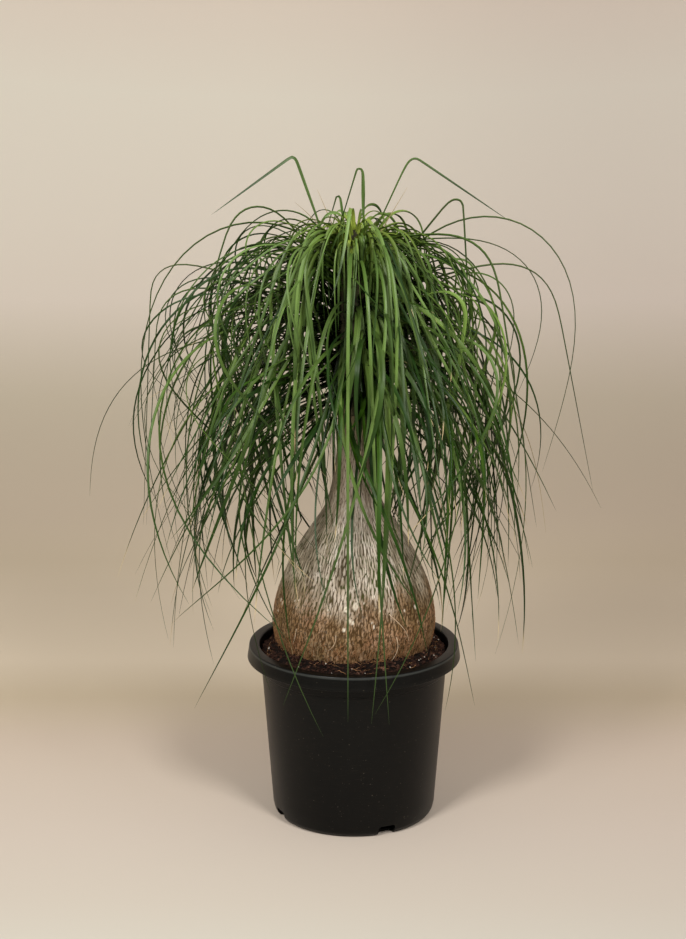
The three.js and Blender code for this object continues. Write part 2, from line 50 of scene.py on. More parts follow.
def smooth(low, high, value):
    t = np.clip((value - low) / (high - low), 0, 1)
    return t * t * (3 - 2 * t)


# Camera, sweep and light
view = {"place": (-0.0153, -3.2, 1.371), "pitchDown": 15.2, "lens": 91.9, "sensor": 36}
cameraData = bpy.data.cameras.new("photoCamera")
cameraData.sensor_fit = "VERTICAL"
cameraData.sensor_height = view["sensor"]
cameraData.lens = view["lens"]
photoCamera = bpy.data.objects.new("photoCamera", cameraData)
photoCamera.location = view["place"]
photoCamera.rotation_euler = (math.radians(90 - view["pitchDown"]), 0, 0)
bpy.context.scene.collection.objects.link(photoCamera)
bpy.context.scene.camera = photoCamera
bpy.context.scene.view_settings.view_transform = "Standard"


def linear(red, green, blue):
    # a screen colour, 0 to 255, as the shader wants it
    return tuple((c / 255) ** 2.2 for c in (red, green, blue)) + (1,)


def startFinish(name, **settings):
    finish = bpy.data.materials.new(name)
    finish.use_nodes = True
    shader = finish.node_tree.nodes["Principled BSDF"]
    for socket, value in settings.items():
        shader.inputs[socket.replace("_", " ")].default_value = value
    return finish, finish.node_tree, shader


def feed(tree, shader, **sources):
    for socket, source in sources.items():
        tree.links.new(source, shader.inputs[socket.replace("_", " ")])


def addNode(tree, kind, inputs=None, **settings):
    node = tree.nodes.new(kind)
    for key, value in settings.items():
        setattr(node, key, value)
    for key, value in (inputs or {}).items():
        if isinstance(value, bpy.types.NodeSocket):
            tree.links.new(value, node.inputs[key])
        else:
            node.inputs[key].default_value = value
    return node


def mark(tree, name):
    return addNode(tree, "ShaderNodeAttribute", attribute_name=name).outputs["Fac"]


def maths(tree, operation, a, b=0.0, clamp=False):
    return addNode(tree, "ShaderNodeMath", {0: a, 1: b}, operation=operation, use_clamp=clamp).outputs[0]


def noise(tree, place, scale, detail=2.0, roughness=0.5):
    inputs = {"Vector": place, "Scale": scale, "Detail": detail, "Roughness": roughness}
    return addNode(tree, "ShaderNodeTexNoise", inputs).outputs["Fac"]


def ramp(tree, factor, *stops):
    # each stop is its place and its colour: three screen numbers, or four as the shader wants them
    node = addNode(tree, "ShaderNodeValToRGB", {"Fac": factor})
    band = node.color_ramp
    while len(band.elements) < len(stops):
        band.elements.new(0.5)
    for element, (place, colour) in zip(band.elements, stops):
        element.position = place
        element.color = linear(*colour) if len(colour) == 3 else colour
    return node.outputs["Color"]


def range01(tree, value, low, high):
    inputs = {"Value": value, "From Min": low, "From Max": high}
    return addNode(tree, "ShaderNodeMapRange", inputs, interpolation_type="SMOOTHSTEP").outputs["Result"]


def mixed(tree, factor, a, b, kind="MIX"):
    inputs = {0: factor, 6: a, 7: b}
    return addNode(tree, "ShaderNodeMix", inputs, data_type="RGBA", blend_type=kind).outputs[2]


def layered(tree, under, over, share, strength=1.0):
    # one colour over another where share says, at most as thick as strength
    if strength != 1:
        share = maths(tree, "MULTIPLY", share, strength)
    return mixed(tree, share, under, linear(*over) if isinstance(over, tuple) else over)


def bump(tree, height, strength, distance):
    inputs = {"Height": height, "Strength": strength, "Distance": distance}
    return addNode(tree, "ShaderNodeBump", inputs).outputs["Normal"]


def stretched(tree, where, scale):
    return addNode(tree, "ShaderNodeMapping", {"Vector": where, "Scale": scale}).outputs["Vector"]


def places(tree, scale=(1, 1, 1)):
    return stretched(tree, addNode(tree, "ShaderNodeTexCoord").outputs["Object"], scale)


def around(radius, turn, height):
    return (radius * math.cos(turn), radius * math.sin(turn), height)


def arc(centre, radius, start, end, steps):
    turns = [math.radians(mix(start, end, i / steps)) for i in range(steps + 1)]
    return [(centre[0] + radius * math.cos(t), centre[1] + radius * math.sin(t)) for t in turns]


def makeMesh(name, points, faces, finish, marks=None, bakeMap=None, creaseAngle=None):
    mesh = bpy.data.meshes.new(name)
    mesh.from_pydata(points, [], faces)
    mesh.materials.append(finish)
    mesh.shade_smooth()
    for markName, values in (marks or {}).items():
        mesh.attributes.new(markName, "FLOAT", "POINT").data.foreach_set("value", np.float32(values))
    if bakeMap is not None:
        layer = mesh.uv_layers.new(name="OFBake")
        layer.uv.foreach_set("vector", np.float32(bakeMap).ravel())
    if creaseAngle is not None:
        mesh.set_sharp_from_angle(angle=math.radians(creaseAngle))
    mesh.validate()
    piece = bpy.data.objects.new(name, mesh)
    bpy.context.scene.collection.objects.link(piece)
    return piece


def mount(piece, slotName, *nodes):
    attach(piece, "root")
    if nodes:
        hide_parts(*nodes)


# The sweep is one round floor that curves up into a wall all round, so that every side has a backdrop.
# Its paint runs from the front of the floor to the back and up the wall, with painted shade in its darker
# bands and towards the right, and further back it glows with painted light.
sweep = {
    "flat": 4.2, "inner": 1.68, "curve": 1.6, "wall": 5.0, "segments": 96, "tonesFrom": -0.6, "tonesTo": 6.6,
    "paintedGlow": 0.3, "paintedGlowFrom": 1.2, "paintedGlowTo": 4.0,
    "paintedRightShade": (0.885, 0.868, 0.878), "shadeFrom": -0.4, "shadeTo": 1.0,
}
# the darker stops, near 0.45 and from 1.18 to 1.5, are painted shade: shadow on the floor behind the pot and
# further back
sweepTonesAndShade = [
    (-0.45, (194, 190, 179)), (-0.31, (195, 187, 175)), (-0.10, (198, 187, 175)), (0.10, (199, 186, 172)),
    (0.26, (199, 184, 168)), (0.45, (200, 185, 160)), (0.62, (224, 210, 188)), (0.95, (219, 205, 183)),
    (1.18, (207, 193, 170)), (1.50, (204, 190, 170)), (2.50, (208, 198, 178)), (3.75, (224, 215, 203)),
    (5.70, (228, 223, 210)), (6.50, (223, 210, 197)),
]


def makeSweep():
    outline = [(0, 0), (sweep["inner"], 0), (sweep["flat"], 0)]
    outline += arc((sweep["flat"], sweep["curve"]), sweep["curve"], -90, 0, 12)[1:]
    outline.append((outline[-1][0], sweep["wall"]))
    count = sweep["segments"]
    points = [(0, 0, 0)]
    for radius, height in outline[1:]:
        points += [around(radius, 2 * math.pi * k / count, height) for k in range(count)]
    faces = [(0, 1 + k, 1 + (k + 1) % count) for k in range(count)]
    for row in range(len(outline) - 2):
        low, high = 1 + row * count, 1 + (row + 1) * count
        faces += [(low + k, high + k, high + (k + 1) % count, low + (k + 1) % count) for k in range(count)]
    finish, tree, shader = startFinish("sweepPaint", Roughness=0.9, Emission_Strength=sweep["paintedGlow"])
    place = addNode(tree, "ShaderNodeSeparateXYZ", {0: places(tree)})
    back = maths(tree, "ADD", place.outputs["Y"], place.outputs["Z"])
    span = sweep["tonesTo"] - sweep["tonesFrom"]
    share = maths(tree, "DIVIDE", maths(tree, "SUBTRACT", back, sweep["tonesFrom"]), span)
    paint = ramp(tree, share, *(((at - sweep["tonesFrom"]) / span, tone) for at, tone in sweepTonesAndShade))
    # painted shade: the paint darkens towards the right
    right = range01(tree, place.outputs["X"], sweep["shadeFrom"], sweep["shadeTo"])
    paint = mixed(tree, right, paint, mixed(tree, 1.0, paint, (*sweep["paintedRightShade"], 1), "MULTIPLY"))
    # painted light: further back the sweep glows with its own paint
    lit = range01(tree, back, sweep["paintedGlowFrom"], sweep["paintedGlowTo"])
    feed(tree, shader, Base_Color=paint, Emission_Color=mixed(tree, lit, (0, 0, 0, 1), paint))
    floor = makeMesh("studioSweep", points, faces, finish)


def addSoftbox(name, place, target, size, power, colour):
    data = bpy.data.lights.new(name, "AREA")
    data.shape = "RECTANGLE"
    data.size, data.size_y = size
    data.energy = power
    data.color = colour
    lamp = bpy.data.objects.new(name, data)
    lamp.location = place
    lamp.rotation_euler = (Vector(target) - Vector(place)).to_track_quat("-Z", "Y").to_euler()
    lamp.visible_camera = False
    bpy.context.scene.collection.objects.link(lamp)


makeSweep()
addSoftbox("keyLeft", (-1.4, -2.4, 2.7), (0, 0, 0.45), (0.8, 0.8), 91, (1.0, 0.97, 0.93))
addSoftbox("keyRight", (1.3, -2.4, 2.6), (0, 0, 0.45), (0.8, 0.8), 74, (1.0, 0.97, 0.93))
addSoftbox("topLight", (0, -0.6, 3.0), (0, 0, 0.5), (1.6, 1.6), 10, (1.0, 0.98, 0.95))
studioAir = bpy.data.worlds.new("studioAir")
studioAir.use_nodes = True
air = studioAir.node_tree.nodes["Background"]
air.inputs["Color"].default_value = (1.0, 0.965, 0.925, 1)
air.inputs["Strength"].default_value = 0.24
bpy.context.scene.world = studioAir
print("camera, sweep and light set")

# Pot
pot = {
    "height": 250, "rimRadius": 150, "rimTopRadius": 147.5, "mouthRadius": 133, "baseRadius": 114,
    "wallSlope": 0.075, "wallThickness": 2.6, "baseThickness": 3.2, "baseEdge": 11, "collarDrop": 20,
    "collarThickness": 2.4, "shoulderBelowRim": 37, "shoulderStep": 2, "bevel": 2, "hemRound": 0.8,
    "segments": 160, "slots": 4, "slotFirst": 24, "slotSize": (25, 34, 30), "creaseAngle": 38,
    "plastic": ((13, 14, 14), (19, 19, 18)), "dust": (74, 68, 60), "lint": (120, 112, 98),
    # the pale line round the top edge of the rim is a painted highlight
    "paintedRimHighlight": (88, 92, 90), "rimHighlightLevels": (245.2, 247.5, 248.2, 249.7),
}
shoulderLevel = pot["height"] - pot["shoulderBelowRim"]


def wallRadius(height):
    return pot["baseRadius"] + pot["wallSlope"] * height


def band(low, high, count):
    # the faces between two rings of points that start at low and at high
    steps = [(k, (k + 1) % count) for k in range(count)]
    return [(low + k, low + after, high + after, high + k) for k, after in steps]


def turnedMesh(outline, segments, shape=None):
    # a body of revolution; outline is (radius, height) in mm from the bottom up, outside first
    rows = np.array(outline, float)
    turns = np.arange(segments) * 2 * math.pi / segments
    radius = np.repeat(rows[:, :1], segments, 1)
    height = np.repeat(rows[:, 1:], segments, 1)
    if shape:
        radius, height = shape(turns[None, :], radius, height)
    points = np.stack([radius * np.cos(turns), radius * np.sin(turns), height], 2).reshape(-1, 3)
    faces, bake = [], []
    count = len(rows)
    runs = np.concatenate([[0], np.cumsum(np.hypot(*np.diff(rows, axis=0).T))])
    runs = runs / runs[-1]
    for row in range(count - 1):
        faces += band(row * segments, (row + 1) * segments, segments)
        for k in range(segments):
            u0, u1, v0, v1 = k / segments, (k + 1) / segments, runs[row], runs[row + 1]
            bake += [(u0, v0), (u1, v0), (u1, v1), (u0, v1)]
    for row, order in ((0, -1), (count - 1, 1)):
        ring = [row * segments + k for k in range(segments)][::order]
        faces.append(ring)
        bake += [(0.5 + 0.001 * math.cos(t), 0.5 + 0.001 * math.sin(t)) for t in turns]
    return points * mm, faces, bake


def potOutline():
    wall, bevel, edge, hemRound = pot["wallThickness"], pot["bevel"], pot["baseEdge"], pot["hemRound"]
    top, rimTop, rim, step = pot["height"], pot["rimTopRadius"], pot["rimRadius"], pot["shoulderStep"]
    collar = pot["collarThickness"]
    web, hem = top - collar, top - pot["collarDrop"]
    neck = pot["mouthRadius"] + wall
    foot = pot["baseRadius"] - edge
    inner = wallRadius(shoulderLevel) - wall
    return [
        (1, 0), (foot - 14, 0), *arc((foot, edge), edge, -90, 0, 8),
        *[(wallRadius(h), h) for h in np.linspace(edge + 4, shoulderLevel, 14)],
        (wallRadius(shoulderLevel) + step, shoulderLevel + step),
        (neck, web - bevel), *arc((neck + bevel, web - bevel), bevel, 180, 90, 3),
        (rimTop - collar - 1, web), (rimTop - collar, web - 1),
        (rim - collar, hem + 0.6), (rim - collar + 0.6, hem),
        *arc((rim - hemRound, hem + hemRound), hemRound, -90, 0, 3),
        *[(mix(rim, rimTop, t), mix(hem + hemRound, top - bevel, t)) for t in (0.3, 0.6, 1)],
        *arc((rimTop - bevel, top - bevel), bevel, 0, 90, 5)[1:],
        *arc((pot["mouthRadius"] + bevel, top - bevel), bevel, 90, 180, 5),
        (inner + step, shoulderLevel + step), (inner, shoulderLevel), (wallRadius(edge) - wall, edge),
        (foot, pot["baseThickness"]), (1, pot["baseThickness"]),
    ]


def potFinish():
    finish, tree, shader = startFinish("blackPlastic", Specular_IOR_Level=0.16)
    grain = noise(tree, places(tree), 900, 2)
    cloud = noise(tree, places(tree, (1, 1, 0.5)), 9, 4, 0.6)
    scuffs = noise(tree, places(tree, (1, 1, 9)), 60, 5, 0.7)
    specks = noise(tree, places(tree), 420, 2, 0.5)
    level = addNode(tree, "ShaderNodeSeparateXYZ", {0: places(tree)}).outputs["Z"]
    # painted highlight: a pale bluish line round the top edge of the rim
    a, b, c, d = (height * mm for height in pot["rimHighlightLevels"])
    rimHighlight = maths(tree, "SUBTRACT", range01(tree, level, a, b), range01(tree, level, c, d))
    skin = ramp(tree, cloud, *zip((0.3, 0.7), pot["plastic"]))
    skin = layered(tree, skin, pot["dust"], range01(tree, scuffs, 0.56, 0.78), 0.14)
    skin = layered(tree, skin, pot["paintedRimHighlight"], rimHighlight, 0.35)
    skin = layered(tree, skin, pot["lint"], range01(tree, specks, 0.7, 0.78), 0.5)
    rough = ramp(tree, cloud, (0.25, (0.30, 0.30, 0.30, 1)), (0.75, (0.42, 0.42, 0.42, 1)))
    feed(tree, shader, Base_Color=skin, Roughness=rough, Normal=bump(tree, grain, 0.1, 0.0004))
    return finish


def makePot():
    points, faces, bake = turnedMesh(potOutline(), pot["segments"])
    body = makeMesh("nurseryPot", points, faces, potFinish(), bakeMap=bake)
    width, depth, tall = (s * mm for s in pot["slotSize"])
    for i in range(pot["slots"]):
        turn = math.radians(pot["slotFirst"] + 360 / pot["slots"] * i)
        cutter = bpy.data.meshes.new("slotCutter")
        block = bmesh.new()
        bmesh.ops.create_cube(block, size=1)
        bmesh.ops.scale(block, vec=(width, depth, tall), verts=block.verts)
        bmesh.ops.bevel(block, geom=block.edges[:], offset=2 * mm, segments=3, affect="EDGES")
        bmesh.ops.translate(block, vec=(0, -pot["baseRadius"] * mm, 0), verts=block.verts)
        block.to_mesh(cutter)
        block.free()
        tool = bpy.data.objects.new("slotCutter", cutter)
        tool.rotation_euler = (0, 0, turn)
        bpy.context.scene.collection.objects.link(tool)
        cut = body.modifiers.new("slot", "BOOLEAN")
        cut.object = tool
        cut.solver = "EXACT"
        bpy.context.view_layer.objects.active = body
        bpy.context.view_layer.update()
        bpy.ops.object.modifier_apply(modifier="slot")
        bpy.data.objects.remove(tool)
    body.data.set_sharp_from_angle(angle=math.radians(pot["creaseAngle"]))
    mount(body, "pot_plastic", "pot")


makePot()
print("pot made")

# Caudex, neck and bark
caudex = {
    "outline": [
        (52, 180), (84, 196), (101, 222), (108.5, 252), (113.5, 291), (107.3, 328), (93.4, 364), (75, 400),
        (58.6, 424.5), (42.5, 448.5), (33.3, 472.5), (28.4, 497), (24.5, 522), (22.5, 560), (22.5, 592),
    ],
    "segments": 600, "rowStep": 2.4, "footLevels": [180, 196, 210, 224, 236], "barkFrom": 246, "top": 590,
    "patternHeight": 700, "plates": (104, 14), "neckPlates": (48, 8), "fissureDepth": 1.8,
    "neck": (420, 495), "skirt": (308, 370), "collar": (490, 585), "seed": 7,
    # pale scars where a small root or leaf has come off: degrees round from the right, level and size
    "scars": [
        (-96, 333, 3.4), (-89, 337, 3.8), (-87.5, 345, 2.2),
        (-93, 318, 1.8), (-91, 315, 2.0), (-97, 306, 2.2),
    ],
    "lenses": 46, "lensLevel": (326, 14), "lensSize": (0.9, 2.0),
    "tones": {
        "shell": ((142, 131, 115), (202, 190, 174), (244, 234, 223)), "neck": (138, 118, 98),
        "grain": (112, 100, 88), "mossAndSideShade": (0.54, 0.515, 0.43), "collar": (90, 82, 38),
        "rust": ((101, 82, 45), (131, 98, 61), (158, 114, 84)), "paleRust": (176, 142, 106),
        "pit": (58, 42, 20), "crack": ((74, 64, 44), (66, 74, 34)), "skirtCrack": (72, 52, 26),
        "neckCrack": (70, 54, 40), "scar": (226, 216, 198),
    },
}


def throughPoints(points, steps):
    # a smooth line through points, as (x, y), with steps to each span
    padded = np.array([points[0], *points, points[-1]], float)
    line = []
    for i in range(1, len(padded) - 2):
        a, b, c, d = padded[i - 1:i + 3]
        for t in np.arange(steps) / steps:
            curve = 2 * b + (c - a) * t + (2 * a - 5 * b + 4 * c - d) * t**2
            line.append(0.5 * (curve + (3 * b - a - 3 * c + d) * t**3))
    return np.array([*line, padded[-1]])


caudexLine = throughPoints(caudex["outline"], 12)


def trunkRadius(height):
    return np.interp(height, caudexLine[:, 1], caudexLine[:, 0])


def grainField(turn, level, columns, length, seed):
    # smooth noise that meets itself round the bark: so many columns round, and so long a grain, in mm
    across = turn / (2 * math.pi) * columns
    up = level / length
    column, row = np.floor(across).astype(int), np.floor(up).astype(int)
    dx, dy = across - column, up - row
    rows = int(caudex["patternHeight"] / length) + 4
    lean = np.random.default_rng(seed).random((rows, columns)) * 2 * math.pi

    def corner(c, r):
        angle = lean[(row + r) % rows, (column + c) % columns]
        return np.cos(angle) * (dx - c) + np.sin(angle) * (dy - r)

    easeX = dx**3 * (dx * (dx * 6 - 15) + 10)
    easeY = dy**3 * (dy * (dy * 6 - 15) + 10)
    return mix(mix(corner(0, 0), corner(1, 0), easeX), mix(corner(0, 1), corner(1, 1), easeX), easeY)


def plateField(turn, level, columns, length, seed):
    # long plates laid like scales, that meet round the bark: 0 on a crack and more inside a plate
    across = turn / (2 * math.pi) * columns
    up = level / length
    rows = int(caudex["patternHeight"] / length) + 4
    offset = np.random.default_rng(seed).uniform(-0.3, 0.3, (2, rows, columns))
    nearest = np.full(turn.shape, 9.0)
    second, upright = nearest, nearest
    for rowStep in (-2, -1, 0, 1, 2, 3):
        row = np.floor(up).astype(int) + rowStep
        for columnStep in (-1, 0, 1, 2):
            column = np.floor(across - 0.5 * (row % 2)).astype(int) + columnStep
            aside, above = offset[:, row % rows, column % columns]
            rise = 0.5 * np.abs(up - row - above)
            away = np.abs(across - 0.5 * (row % 2) - column - aside) + rise
            second = np.minimum(second, np.maximum(nearest, away))
            upright = np.where(away < nearest, rise, upright)
            nearest = np.minimum(nearest, away)
    return (second - nearest) * (1 + 3 * (upright / (nearest + 0.05)) ** 2)


def scarField(turn, level):
    # how far each point of the bark lies in a pale scar, 0 to 1
    rng = np.random.default_rng(caudex["seed"] + 20)
    spots = list(caudex["scars"])
    for _ in range(caudex["lenses"]):
        degrees, height = rng.uniform(0, 360), rng.normal(*caudex["lensLevel"])
        spots.append((degrees, height, rng.uniform(*caudex["lensSize"])))
    inside = np.zeros(turn.shape)
    for degrees, height, size in spots:
        gap = (turn - math.radians(degrees) + math.pi) % (2 * math.pi) - math.pi
        away = np.hypot(gap * trunkRadius(height), (level - height) * 0.8)
        ring = mix(0.3, 1, smooth(size * 0.1, size * 0.6, away))
        inside = np.maximum(inside, ring * (1 - smooth(size * 0.7, size * 1.15, away)))
    return inside


def barkField(turn, level):
    # out: mm that the bark stands out, with the marks that its finish reads
    seed = caudex["seed"]
    wander = 0.05 * grainField(turn, level, 14, 60, seed)
    neck = smooth(*caudex["neck"], level)
    wavy = turn + wander + 0.008 * grainField(turn, level, 190, 9, seed + 1)
    openness = 0.5 + 0.4 * grainField(turn, level, 30, 24, seed + 2)
    coarse = smooth(0, 1, plateField(wavy, level, *caudex["plates"], seed + 1) / openness)
    neckPlate = smooth(0, 0.3, plateField(turn + wander, level, *caudex["neckPlates"], seed + 9))
    coarse = mix(coarse, neckPlate, neck)
    fine = grainField(turn - wander, level, 230, 10, seed + 3)
    fine += 0.4 * grainField(turn, level, 420, 6, seed + 4)
    speckle = grainField(turn, level, 260, 4.2, seed + 5)
    skirt = 1 - smooth(*caudex["skirt"], level + 34 * grainField(turn, level, 18, 50, seed + 6))
    finePlate = smooth(0, 0.24, np.abs(fine))
    plate = coarse * mix(1, finePlate, 0.3)
    plate = mix(plate, mix(coarse, 1, 0.4) * finePlate * smooth(-0.6, 0, speckle), skirt * 0.8)
    # darker round the sides and back, lighter on the front: partly moss, partly painted shade
    mossAndSideShade = 1 - smooth(0.7, 1.15, 0.28 * grainField(turn, level, 9, 70, seed + 10) - 1.1 * np.sin(turn))
    collar = smooth(*caudex["collar"], level)
    tone = 0.5 + 0.9 * grainField(turn + wander, level, 62, 30, seed + 7)
    tone += 0.5 * grainField(turn, level, 200, 9, seed + 8)
    scar = scarField(turn, level)
    lobes = 1.6 * np.cos(3 * turn + 0.6) + 1.1 * np.cos(5 * turn - level * 0.012)
    depth = caudex["fissureDepth"] * (1 - 0.35 * neck) * (1 - 0.35 * skirt)
    low, high = caudex["barkFrom"], caudex["top"]
    shown = smooth(low, low + 14, level) * (1 - smooth(high - 15, high, level))
    out = shown * (depth * (plate - 0.75) + lobes * (1 - smooth(400, 500, level)) + 0.7 * scar)
    marks = {"plate": plate, "plateTone": np.clip(tone, 0, 1), "skirt": skirt, "neck": neck, "scar": scar}
    return out, {**marks, "mossAndSideShade": mossAndSideShade, "collar": collar}


def barkFinish():
    finish, tree, shader = startFinish("greyBark", Roughness=0.82, Specular_IOR_Level=0.3)
    tones = caudex["tones"]
    names = ("plate", "plateTone", "skirt", "neck", "scar", "mossAndSideShade", "collar")
    plate, tone, skirt, neck, scar, mossAndSideShade, collar = (mark(tree, name) for name in names)
    grain = noise(tree, places(tree, (1, 1, 0.22)), 420, 3, 0.6)
    patch = noise(tree, places(tree), 22, 3, 0.55)
    speck = noise(tree, places(tree), 330, 2, 0.6)
    shell = ramp(tree, tone, *zip((0, 0.5, 1), tones["shell"]))
    shell = layered(tree, shell, tones["neck"], neck, 0.5)
    shell = layered(tree, shell, tones["grain"], range01(tree, grain, 0.42, 0.74), 0.35)
    # partly moss, partly painted shade on the sides and back of the caudex
    shell = layered(tree, shell, mixed(tree, 1.0, shell, (*tones["mossAndSideShade"], 1), "MULTIPLY"), mossAndSideShade, 0.85)
    shell = layered(tree, shell, tones["collar"], collar, 0.8)
    rust = ramp(tree, patch, *zip((0.34, 0.5, 0.66), tones["rust"]))
    rust = layered(tree, rust, tones["paleRust"], tone, 0.4)
    rust = layered(tree, rust, tones["pit"], range01(tree, speck, 0.52, 0.66))
    shell = layered(tree, shell, rust, skirt, 0.9)
    crack = ramp(tree, range01(tree, patch, 0.44, 0.6), *zip((0, 1), tones["crack"]))
    crack = layered(tree, crack, tones["skirtCrack"], skirt)
    crack = layered(tree, crack, tones["neckCrack"], neck, 0.6)
    bark = mixed(tree, range01(tree, plate, 0.1, 0.8), crack, shell)
    bark = layered(tree, bark, tones["scar"], scar)
    relief = bump(tree, maths(tree, "ADD", grain, speck), 0.45, 0.0008)
    feed(tree, shader, Base_Color=bark, Normal=relief)
    return finish


def makeTrunk():
    barked = np.arange(caudex["barkFrom"] - 4, caudex["top"], caudex["rowStep"])
    levels = [*caudex["footLevels"], *barked, caudex["top"]]
    outline = [(float(trunkRadius(h)), h) for h in levels]
    segments = caudex["segments"]
    level, turn = np.meshgrid(levels, np.arange(segments) * 2 * math.pi / segments, indexing="ij")
    out, marks = barkField(turn, level)

    def roughened(_, radius, height):
        return radius + out, height

    points, faces, bake = turnedMesh(outline, segments, shape=roughened)
    marks = {name: np.ravel(values) for name, values in marks.items()}
    mount(makeMesh("barkedCaudex", points, faces, barkFinish(), marks, bake), "bark", "trunk")


makeTrunk()
print("caudex and bark made")

# Soil, chips and roots
soil = {
    "edgeRadius": 131, "edgeLevel": 236, "heapRadius": 106, "heapLevel": 261, "innerRadius": 104,
    "underside": 212, "covered": 238, "bitsFrom": 109, "chips": 2600, "chipSize": (1.3, 4.6),
    "perlite": 30, "perliteSize": (1.2, 2.8), "seed": 11,
    "roots": 520, "rootLevels": (262, 292), "rootRadii": (110, 124), "rootThickness": (0.4, 1.0),
    # stray pale fibres on the foot of the caudex: degrees round and level at their start and end
    "strays": [
        (-64.4, 324, -49.4, 281), (-102.5, 298, -108, 275), (-133.5, 298, -138, 273), (-60, 291, -63, 256),
    ],
    "tones": {
        "soil": ((8, 6, 5), (30, 20, 15), (18, 11, 8)),
        "chips": ((12, 8, 6), (62, 41, 33), (112, 82, 68)),
        "perlite": ((168, 160, 146), (226, 222, 212), (200, 192, 178)),
        "rootSkin": ((80, 54, 34), (164, 122, 86), (120, 84, 56)),
        "paleFibre": ((176, 150, 122), (216, 196, 170), (196, 170, 142)),
    },
}


def soilLevel(radius, turn):
    t = np.clip((soil["edgeRadius"] - radius) / (soil["edgeRadius"] - soil["heapRadius"]), 0, 1)
    lumps = 1.3 * np.sin(turn * 13 + radius * 0.3) + 0.9 * np.sin(turn * 23 - radius * 0.7)
    lumps = lumps + 0.8 * np.sin(turn * 41 + radius * 1.1)
    return mix(soil["edgeLevel"], soil["heapLevel"], t**1.2) + lumps * 0.8


def soilFinish(name):
    dark, light, fleck = soil["tones"][name]
    finish, tree, shader = startFinish(name, Roughness=0.95, Specular_IOR_Level=0.2)
    crumbs = noise(tree, places(tree), 300, 4, 0.65)
    clods = noise(tree, places(tree), 60, 3, 0.6)
    colour = ramp(tree, crumbs, (0.32, dark), (0.62, light))
    colour = layered(tree, colour, fleck, range01(tree, clods, 0.55, 0.75))
    feed(tree, shader, Base_Color=colour, Normal=bump(tree, crumbs, 0.7, 0.0012))
    return finish


def scattered(count, seed, sizes, stretch, lift):
    # small closed shards lying on the soil, each turned its own way
    rng = np.random.default_rng(seed)
    corners = np.array([(1, 0, 0), (0, 1, 0), (-1, 0, 0), (0, -1, 0), (0, 0, 1), (0, 0, -1)], float)
    sides = [(0, 1, 4), (1, 2, 4), (2, 3, 4), (3, 0, 4), (1, 0, 5), (2, 1, 5), (3, 2, 5), (0, 3, 5)]
    points, faces = [], []
    for _ in range(count):
        turn = rng.uniform(0, 2 * math.pi)
        radius = mix(soil["bitsFrom"], soil["edgeRadius"] - 1.5, rng.random() ** 0.8)
        size = mix(sizes[0], sizes[1], rng.random() ** 2)
        shard = corners * (1, rng.uniform(*stretch), rng.uniform(0.3, 0.7)) * size
        shard += rng.normal(0, 0.16 * size, shard.shape)
        a, b = rng.uniform(0, 2 * math.pi), rng.normal(0, 0.5)
        spin = np.array([[math.cos(a), -math.sin(a), 0], [math.sin(a), math.cos(a), 0], [0, 0, 1]])
        tip = np.array([[1, 0, 0], [0, math.cos(b), -math.sin(b)], [0, math.sin(b), math.cos(b)]])
        place = np.array(around(radius, turn, soilLevel(radius, turn) + lift * size))
        faces += [tuple(len(points) + i for i in side) for side in sides]
        points += list(shard @ tip.T @ spin.T + place)
    return np.array(points) * mm, faces


def strandMesh(strands, sides=5):
    # closed thin tubes along lines of points, in mm, each (line, thickness at start, thickness at end)
    points, faces = [], []
    for line, thick, thin in strands:
        line = np.array(line, float)
        ahead = np.gradient(line, axis=0)
        ahead /= np.linalg.norm(ahead, axis=1)[:, None]
        across = np.cross(ahead, (0.1, 0.2, 1.0))
        across /= np.linalg.norm(across, axis=1)[:, None]
        other = np.cross(ahead, across)
        start, count = len(points), len(line)
        for i in range(count):
            half = mix(thick, thin, i / (count - 1)) / 2
            for k in range(sides):
                turn = 2 * math.pi * k / sides
                points.append(line[i] + half * (math.cos(turn) * across[i] + math.sin(turn) * other[i]))
        for i in range(count - 1):
            faces += band(start + i * sides, start + (i + 1) * sides, sides)
        faces.append(tuple(start + k for k in range(sides))[::-1])
        faces.append(tuple(start + (count - 1) * sides + k for k in range(sides)))
    return np.array(points) * mm, faces


def rootLines():
    # fine roots that run down the foot of the caudex and lie about on the soil
    rng = np.random.default_rng(soil["seed"])
    nearest, furthest = soil["rootRadii"]
    strands = []
    for _ in range(soil["roots"]):
        turn = rng.uniform(0, 2 * math.pi)
        heading = rng.uniform(-1.6, 1.6)
        onCaudex = rng.random() < 0.85
        level = rng.uniform(*soil["rootLevels"])
        radius = rng.uniform(nearest, furthest)
        line = []
        for _ in range(9):
            if onCaudex and level < soilLevel(nearest, turn) + 1:
                onCaudex = False
                radius = nearest
            if onCaudex:
                line.append((float(trunkRadius(level)) + 1.2, turn, level))
                level -= rng.uniform(1.5, 4.5)
                turn += heading * 0.018 + rng.normal(0, 0.008)
            else:
                line.append((radius, turn, float(soilLevel(radius, turn)) + rng.uniform(0.6, 2.4)))
                radius = min(furthest, max(soil["bitsFrom"], radius + rng.uniform(-1.5, 1.9)))
                turn += heading * 0.02 + rng.normal(0, 0.012)
        points = [around(*place) for place in line]
        thick = rng.uniform(*soil["rootThickness"])
        strands.append((points, thick, thick * 0.4))
    return strands


def strayLines():
    strands = []
    for turnA, levelA, turnB, levelB in soil["strays"]:
        line = []
        for t in np.linspace(0, 1, 9):
            turn = math.radians(mix(turnA, turnB, t) + 2 * math.sin(3 * t))
            level = mix(levelA, levelB, t)
            radius = float(trunkRadius(level)) + 2 + 2.5 * math.sin(math.pi * t)
            line.append(around(radius, turn, level))
        strands.append((line, 1.0, 0.6))
    return strands


